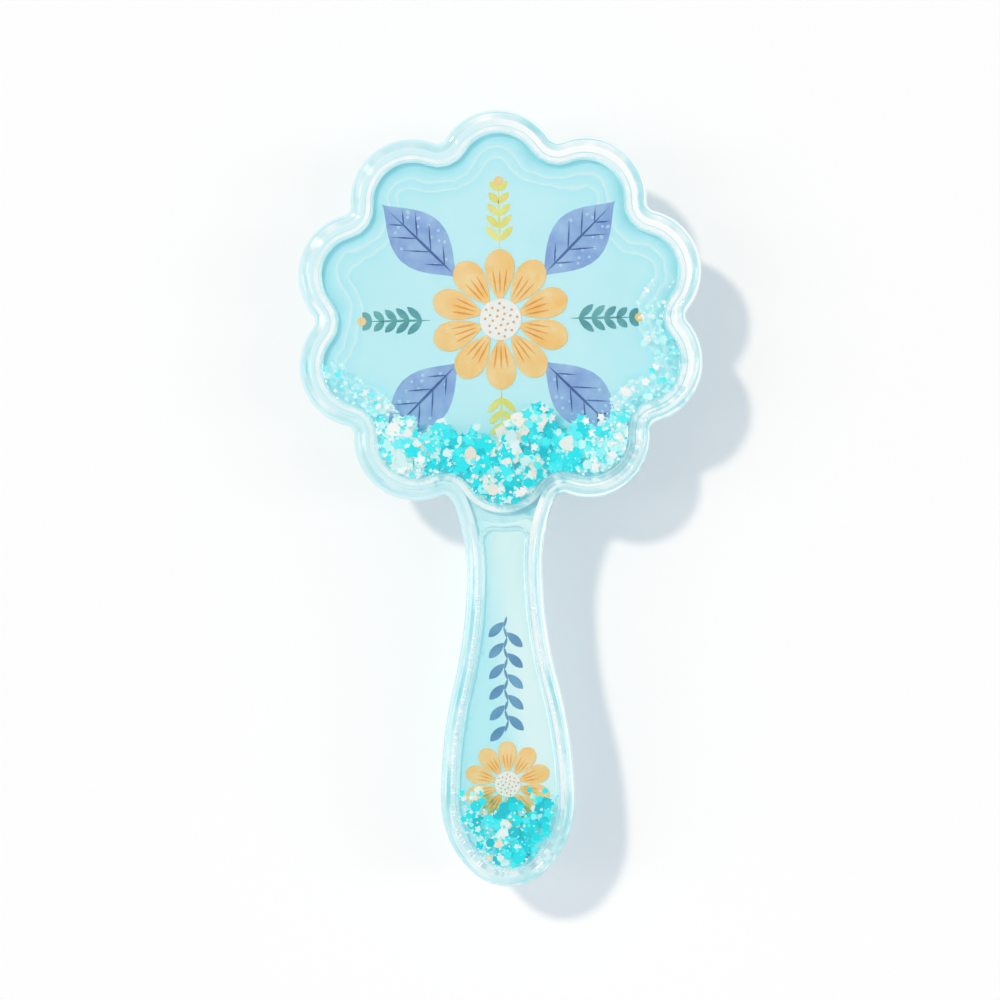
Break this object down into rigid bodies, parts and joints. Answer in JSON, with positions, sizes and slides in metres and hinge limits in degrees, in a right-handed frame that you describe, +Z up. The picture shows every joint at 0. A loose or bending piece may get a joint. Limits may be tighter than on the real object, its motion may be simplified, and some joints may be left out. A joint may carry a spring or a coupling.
{
  "type": "hair brush",
  "caption": "Hair brush with a clear scalloped head and paddle handle, glitter floating in oil over printed cards, and ball tipped pins in a sprung rubber air cushion behind.",
  "frame": {"origin": "centre of the brush's outline, on the surface that the pin tips rest on", "axes": "+Z up from the pin tips to the display face, +Y along the brush towards the head, X across"},
  "size_m": [0.0912, 0.1756, 0.035],
  "materials": {
    "clear_acrylic": "clear polished moulding",
    "clear_oil": "clear liquid",
    "aqua_shell": "glossy moulding",
    "printed_card": "matt printed card",
    "teal_glitter": "sparkling foil",
    "pearl_glitter": "pearl foil",
    "aqua_rubber": "soft matt rubber",
    "pin_nylon": "satin nylon"
  },
  "bodies": {
    "brush": {"front_shell": "clear_acrylic", "back_shell": "aqua_shell", "head_chamber_plate": "clear_acrylic", "handle_chamber_plate": "clear_acrylic", "head_fill_plug": "clear_acrylic", "handle_fill_plug": "clear_acrylic", "head_print_card": "printed_card", "handle_print_card": "printed_card", "head_liquid": "clear_oil", "handle_liquid": "clear_oil", "cushion_clamp": "aqua_shell", "head_glitter_teal": "teal_glitter", "head_glitter_pearl": "pearl_glitter", "handle_glitter_teal": "teal_glitter", "handle_glitter_pearl": "pearl_glitter"},
    "cushion": {"air_cushion": "aqua_rubber"},
    "pin_01": {"bristle_pin_01": "pin_nylon"},
    "pin_02": {"bristle_pin_02": "pin_nylon"},
    "pin_03": {"bristle_pin_03": "pin_nylon"},
    "pin_04": {"bristle_pin_04": "pin_nylon"},
    "pin_05": {"bristle_pin_05": "pin_nylon"},
    "pin_06": {"bristle_pin_06": "pin_nylon"},
    "pin_07": {"bristle_pin_07": "pin_nylon"},
    "pin_08": {"bristle_pin_08": "pin_nylon"},
    "pin_09": {"bristle_pin_09": "pin_nylon"},
    "pin_10": {"bristle_pin_10": "pin_nylon"},
    "pin_11": {"bristle_pin_11": "pin_nylon"},
    "pin_12": {"bristle_pin_12": "pin_nylon"},
    "pin_13": {"bristle_pin_13": "pin_nylon"},
    "pin_14": {"bristle_pin_14": "pin_nylon"},
    "pin_15": {"bristle_pin_15": "pin_nylon"},
    "pin_16": {"bristle_pin_16": "pin_nylon"},
    "pin_17": {"bristle_pin_17": "pin_nylon"},
    "pin_18": {"bristle_pin_18": "pin_nylon"},
    "pin_19": {"bristle_pin_19": "pin_nylon"},
    "pin_20": {"bristle_pin_20": "pin_nylon"},
    "pin_21": {"bristle_pin_21": "pin_nylon"},
    "pin_22": {"bristle_pin_22": "pin_nylon"},
    "pin_23": {"bristle_pin_23": "pin_nylon"},
    "pin_24": {"bristle_pin_24": "pin_nylon"},
    "pin_25": {"bristle_pin_25": "pin_nylon"},
    "pin_26": {"bristle_pin_26": "pin_nylon"},
    "pin_27": {"bristle_pin_27": "pin_nylon"},
    "pin_28": {"bristle_pin_28": "pin_nylon"},
    "pin_29": {"bristle_pin_29": "pin_nylon"},
    "pin_30": {"bristle_pin_30": "pin_nylon"},
    "pin_31": {"bristle_pin_31": "pin_nylon"},
    "pin_32": {"bristle_pin_32": "pin_nylon"},
    "pin_33": {"bristle_pin_33": "pin_nylon"},
    "pin_34": {"bristle_pin_34": "pin_nylon"},
    "pin_35": {"bristle_pin_35": "pin_nylon"},
    "pin_36": {"bristle_pin_36": "pin_nylon"},
    "pin_37": {"bristle_pin_37": "pin_nylon"}
  },
  "joints": [
    {"name": "cushion_press", "type": "slide", "parent": "brush", "child": "cushion", "axis": [0, 0, 1], "range_m": [0, 0.003], "stiffness_N_per_m": 2500, "deforming": ["air_cushion"]},
    {"name": "pin_01_rock", "type": "hinge", "parent": "cushion", "child": "pin_01", "pos_m": [-0.01275, 0.01852, 0.0154], "axis": [0, 1, 0], "range_deg": [-10, 10], "stiffness_Nm_per_rad": 0.036},
    {"name": "pin_02_rock", "type": "hinge", "parent": "cushion", "child": "pin_02", "pos_m": [-0.00425, 0.01852, 0.0154], "axis": [0, 1, 0], "range_deg": [-10, 10], "stiffness_Nm_per_rad": 0.036},
    {"name": "pin_03_rock", "type": "hinge", "parent": "cushion", "child": "pin_03", "pos_m": [0.00425, 0.01852, 0.0154], "axis": [0, 1, 0], "range_deg": [-10, 10], "stiffness_Nm_per_rad": 0.036},
    {"name": "pin_04_rock", "type": "hinge", "parent": "cushion", "child": "pin_04", "pos_m": [0.01275, 0.01852, 0.0154], "axis": [0, 1, 0], "range_deg": [-10, 10], "stiffness_Nm_per_rad": 0.036},
    {"name": "pin_05_rock", "type": "hinge", "parent": "cushion", "child": "pin_05", "pos_m": [-0.017, 0.02588, 0.0154], "axis": [0, 1, 0], "range_deg": [-10, 10], "stiffness_Nm_per_rad": 0.036},
    {"name": "pin_06_rock", "type": "hinge", "parent": "cushion", "child": "pin_06", "pos_m": [-0.0085, 0.02588, 0.0154], "axis": [0, 1, 0], "range_deg": [-10, 10], "stiffness_Nm_per_rad": 0.036},
    {"name": "pin_07_rock", "type": "hinge", "parent": "cushion", "child": "pin_07", "pos_m": [0, 0.02588, 0.0154], "axis": [0, 1, 0], "range_deg": [-10, 10], "stiffness_Nm_per_rad": 0.036},
    {"name": "pin_08_rock", "type": "hinge", "parent": "cushion", "child": "pin_08", "pos_m": [0.0085, 0.02588, 0.0154], "axis": [0, 1, 0], "range_deg": [-10, 10], "stiffness_Nm_per_rad": 0.036},
    {"name": "pin_09_rock", "type": "hinge", "parent": "cushion", "child": "pin_09", "pos_m": [0.017, 0.02588, 0.0154], "axis": [0, 1, 0], "range_deg": [-10, 10], "stiffness_Nm_per_rad": 0.036},
    {"name": "pin_10_rock", "type": "hinge", "parent": "cushion", "child": "pin_10", "pos_m": [-0.02125, 0.03324, 0.0154], "axis": [0, 1, 0], "range_deg": [-10, 10], "stiffness_Nm_per_rad": 0.036},
    {"name": "pin_11_rock", "type": "hinge", "parent": "cushion", "child": "pin_11", "pos_m": [-0.01275, 0.03324, 0.0154], "axis": [0, 1, 0], "range_deg": [-10, 10], "stiffness_Nm_per_rad": 0.036},
    {"name": "pin_12_rock", "type": "hinge", "parent": "cushion", "child": "pin_12", "pos_m": [-0.00425, 0.03324, 0.0154], "axis": [0, 1, 0], "range_deg": [-10, 10], "stiffness_Nm_per_rad": 0.036},
    {"name": "pin_13_rock", "type": "hinge", "parent": "cushion", "child": "pin_13", "pos_m": [0.00425, 0.03324, 0.0154], "axis": [0, 1, 0], "range_deg": [-10, 10], "stiffness_Nm_per_rad": 0.036},
    {"name": "pin_14_rock", "type": "hinge", "parent": "cushion", "child": "pin_14", "pos_m": [0.01275, 0.03324, 0.0154], "axis": [0, 1, 0], "range_deg": [-10, 10], "stiffness_Nm_per_rad": 0.036},
    {"name": "pin_15_rock", "type": "hinge", "parent": "cushion", "child": "pin_15", "pos_m": [0.02125, 0.03324, 0.0154], "axis": [0, 1, 0], "range_deg": [-10, 10], "stiffness_Nm_per_rad": 0.036},
    {"name": "pin_16_rock", "type": "hinge", "parent": "cushion", "child": "pin_16", "pos_m": [-0.0255, 0.0406, 0.0154], "axis": [0, 1, 0], "range_deg": [-10, 10], "stiffness_Nm_per_rad": 0.036},
    {"name": "pin_17_rock", "type": "hinge", "parent": "cushion", "child": "pin_17", "pos_m": [-0.017, 0.0406, 0.0154], "axis": [0, 1, 0], "range_deg": [-10, 10], "stiffness_Nm_per_rad": 0.036},
    {"name": "pin_18_rock", "type": "hinge", "parent": "cushion", "child": "pin_18", "pos_m": [-0.0085, 0.0406, 0.0154], "axis": [0, 1, 0], "range_deg": [-10, 10], "stiffness_Nm_per_rad": 0.036},
    {"name": "pin_19_rock", "type": "hinge", "parent": "cushion", "child": "pin_19", "pos_m": [0, 0.0406, 0.0154], "axis": [0, 1, 0], "range_deg": [-10, 10], "stiffness_Nm_per_rad": 0.036},
    {"name": "pin_20_rock", "type": "hinge", "parent": "cushion", "child": "pin_20", "pos_m": [0.0085, 0.0406, 0.0154], "axis": [0, 1, 0], "range_deg": [-10, 10], "stiffness_Nm_per_rad": 0.036},
    {"name": "pin_21_rock", "type": "hinge", "parent": "cushion", "child": "pin_21", "pos_m": [0.017, 0.0406, 0.0154], "axis": [0, 1, 0], "range_deg": [-10, 10], "stiffness_Nm_per_rad": 0.036},
    {"name": "pin_22_rock", "type": "hinge", "parent": "cushion", "child": "pin_22", "pos_m": [0.0255, 0.0406, 0.0154], "axis": [0, 1, 0], "range_deg": [-10, 10], "stiffness_Nm_per_rad": 0.036},
    {"name": "pin_23_rock", "type": "hinge", "parent": "cushion", "child": "pin_23", "pos_m": [-0.02125, 0.04796, 0.0154], "axis": [0, 1, 0], "range_deg": [-10, 10], "stiffness_Nm_per_rad": 0.036},
    {"name": "pin_24_rock", "type": "hinge", "parent": "cushion", "child": "pin_24", "pos_m": [-0.01275, 0.04796, 0.0154], "axis": [0, 1, 0], "range_deg": [-10, 10], "stiffness_Nm_per_rad": 0.036},
    {"name": "pin_25_rock", "type": "hinge", "parent": "cushion", "child": "pin_25", "pos_m": [-0.00425, 0.04796, 0.0154], "axis": [0, 1, 0], "range_deg": [-10, 10], "stiffness_Nm_per_rad": 0.036},
    {"name": "pin_26_rock", "type": "hinge", "parent": "cushion", "child": "pin_26", "pos_m": [0.00425, 0.04796, 0.0154], "axis": [0, 1, 0], "range_deg": [-10, 10], "stiffness_Nm_per_rad": 0.036},
    {"name": "pin_27_rock", "type": "hinge", "parent": "cushion", "child": "pin_27", "pos_m": [0.01275, 0.04796, 0.0154], "axis": [0, 1, 0], "range_deg": [-10, 10], "stiffness_Nm_per_rad": 0.036},
    {"name": "pin_28_rock", "type": "hinge", "parent": "cushion", "child": "pin_28", "pos_m": [0.02125, 0.04796, 0.0154], "axis": [0, 1, 0], "range_deg": [-10, 10], "stiffness_Nm_per_rad": 0.036},
    {"name": "pin_29_rock", "type": "hinge", "parent": "cushion", "child": "pin_29", "pos_m": [-0.017, 0.05532, 0.0154], "axis": [0, 1, 0], "range_deg": [-10, 10], "stiffness_Nm_per_rad": 0.036},
    {"name": "pin_30_rock", "type": "hinge", "parent": "cushion", "child": "pin_30", "pos_m": [-0.0085, 0.05532, 0.0154], "axis": [0, 1, 0], "range_deg": [-10, 10], "stiffness_Nm_per_rad": 0.036},
    {"name": "pin_31_rock", "type": "hinge", "parent": "cushion", "child": "pin_31", "pos_m": [0, 0.05532, 0.0154], "axis": [0, 1, 0], "range_deg": [-10, 10], "stiffness_Nm_per_rad": 0.036},
    {"name": "pin_32_rock", "type": "hinge", "parent": "cushion", "child": "pin_32", "pos_m": [0.0085, 0.05532, 0.0154], "axis": [0, 1, 0], "range_deg": [-10, 10], "stiffness_Nm_per_rad": 0.036},
    {"name": "pin_33_rock", "type": "hinge", "parent": "cushion", "child": "pin_33", "pos_m": [0.017, 0.05532, 0.0154], "axis": [0, 1, 0], "range_deg": [-10, 10], "stiffness_Nm_per_rad": 0.036},
    {"name": "pin_34_rock", "type": "hinge", "parent": "cushion", "child": "pin_34", "pos_m": [-0.01275, 0.06268, 0.0154], "axis": [0, 1, 0], "range_deg": [-10, 10], "stiffness_Nm_per_rad": 0.036},
    {"name": "pin_35_rock", "type": "hinge", "parent": "cushion", "child": "pin_35", "pos_m": [-0.00425, 0.06268, 0.0154], "axis": [0, 1, 0], "range_deg": [-10, 10], "stiffness_Nm_per_rad": 0.036},
    {"name": "pin_36_rock", "type": "hinge", "parent": "cushion", "child": "pin_36", "pos_m": [0.00425, 0.06268, 0.0154], "axis": [0, 1, 0], "range_deg": [-10, 10], "stiffness_Nm_per_rad": 0.036},
    {"name": "pin_37_rock", "type": "hinge", "parent": "cushion", "child": "pin_37", "pos_m": [0.01275, 0.06268, 0.0154], "axis": [0, 1, 0], "range_deg": [-10, 10], "stiffness_Nm_per_rad": 0.036}
  ]
}
